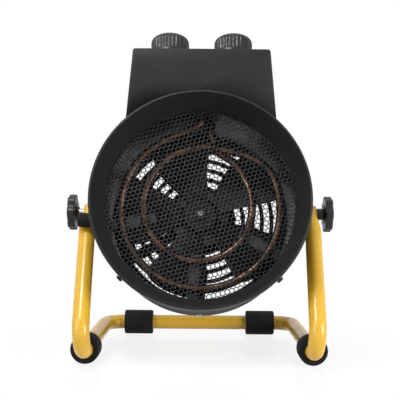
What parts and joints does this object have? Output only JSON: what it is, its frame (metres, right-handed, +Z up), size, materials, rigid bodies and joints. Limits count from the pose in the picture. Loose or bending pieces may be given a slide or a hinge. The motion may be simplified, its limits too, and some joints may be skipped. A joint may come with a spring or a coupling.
{
  "type": "forced air heater",
  "caption": "Forced air heater: black steel drum with honeycomb guard, bent tube element and fan, control box with knobs on top, tilting in a yellow bent tube stand.",
  "frame": {"origin": "on the floor, under the middle of the bounding box", "axes": "+Z up; the mouth of the drum faces -Y and is tilted up at rest; +X is to the right of a person who faces the mouth"},
  "size_m": [0.2636, 0.227, 0.3194],
  "materials": {
    "black_powder_coat": "satin black powder coat",
    "yellow_powder_coat": "glossy amber yellow powder coat",
    "black_rubber": "matt moulded rubber",
    "black_plastic": "fine spark texture, moulded",
    "ivory_plastic": "moulded, matt",
    "bright_steel": "bright zinc plated",
    "galvanised_steel": "galvanised sheet",
    "element_sheath": "heat-browned sheath",
    "fan_aluminium": "pressed sheet, mill finish",
    "motor_laminations": "stacked laminations",
    "copper_wire": "varnished copper winding",
    "lead_sleeve": "woven heat-proof sleeve"
  },
  "bodies": {
    "stand": {"stand_tube": "yellow_powder_coat", "leg_bush_left": "black_rubber", "front_foot_left": "black_rubber", "front_foot_right": "black_rubber", "rear_sleeve_left": "black_rubber", "rear_sleeve_right": "black_rubber"},
    "head": {"front_ring": "black_powder_coat", "guard_net": "bright_steel", "guard_clamp_ring": "galvanised_steel", "ring_screw_1": "bright_steel", "ring_screw_2": "bright_steel", "ring_screw_3": "bright_steel", "ring_screw_4": "bright_steel", "drum_casing": "black_powder_coat", "heat_shield": "galvanised_steel", "rear_grille": "black_powder_coat", "grille_screw_1": "bright_steel", "grille_screw_2": "bright_steel", "grille_screw_3": "bright_steel", "pivot_boss_right": "galvanised_steel", "friction_washer_right": "black_plastic", "pivot_boss_left": "galvanised_steel", "friction_washer_left": "black_plastic", "heating_element": "element_sheath", "element_bracket_1": "galvanised_steel", "element_bracket_2": "galvanised_steel", "element_bracket_3": "galvanised_steel", "element_terminal_1": "bright_steel", "element_terminal_2": "bright_steel", "element_mount_plate": "bright_steel", "motor_stator": "motor_laminations", "motor_winding": "copper_wire", "motor_front_bracket": "galvanised_steel", "motor_rear_bracket": "galvanised_steel", "motor_screw_1": "bright_steel", "motor_screw_2": "bright_steel", "motor_lead": "lead_sleeve", "box_shell": "black_powder_coat", "box_rear_cover": "black_powder_coat", "cord_gland": "black_plastic", "cover_screw_1": "bright_steel", "cover_screw_2": "bright_steel", "terminal_block": "ivory_plastic", "thermal_cut_out": "black_plastic", "switch_body": "black_plastic", "thermostat_body": "ivory_plastic", "switch_nut": "bright_steel", "thermostat_nut": "bright_steel"},
    "fan": {"fan_wheel": "fan_aluminium", "fan_nut": "bright_steel", "motor_shaft": "bright_steel", "motor_rotor": "motor_laminations"},
    "switch": {"switch_knob": "black_plastic", "switch_shaft": "bright_steel"},
    "thermostat": {"thermostat_knob": "black_plastic", "thermostat_shaft": "bright_steel"},
    "clamp_left": {"clamp_knob_left": "black_plastic", "clamp_bolt_left": "bright_steel"},
    "clamp_right": {"clamp_knob_right": "black_plastic", "clamp_bolt_right": "bright_steel"}
  },
  "joints": [
    {"name": "head_tilt", "type": "hinge", "parent": "stand", "child": "head", "pos_m": [0, -0.02097, 0.1414], "axis": [1, 0, 0], "range_deg": [-35, 35]},
    {"name": "fan_spin", "type": "hinge", "parent": "head", "child": "fan", "pos_m": [0, -0.00867, 0.13867], "axis": [0, 0.9763, -0.2164], "continuous": true},
    {"name": "switch_turn", "type": "hinge", "parent": "head", "child": "switch", "pos_m": [-0.0316, -0.0122, 0.30846], "axis": [0, 0.2164, 0.9763], "range_deg": [0, 135]},
    {"name": "thermostat_turn", "type": "hinge", "parent": "head", "child": "thermostat", "pos_m": [0.0316, -0.0122, 0.30846], "axis": [0, 0.2164, 0.9763], "range_deg": [0, 270]},
    {"name": "clamp_left_turn", "type": "hinge", "parent": "head", "child": "clamp_left", "pos_m": [-0.12, -0.02097, 0.1414], "axis": [1, 0, 0], "range_deg": [0, 360]},
    {"name": "clamp_right_turn", "type": "hinge", "parent": "head", "child": "clamp_right", "pos_m": [0.12, -0.02097, 0.1414], "axis": [1, 0, 0], "range_deg": [0, 360]}
  ]
}
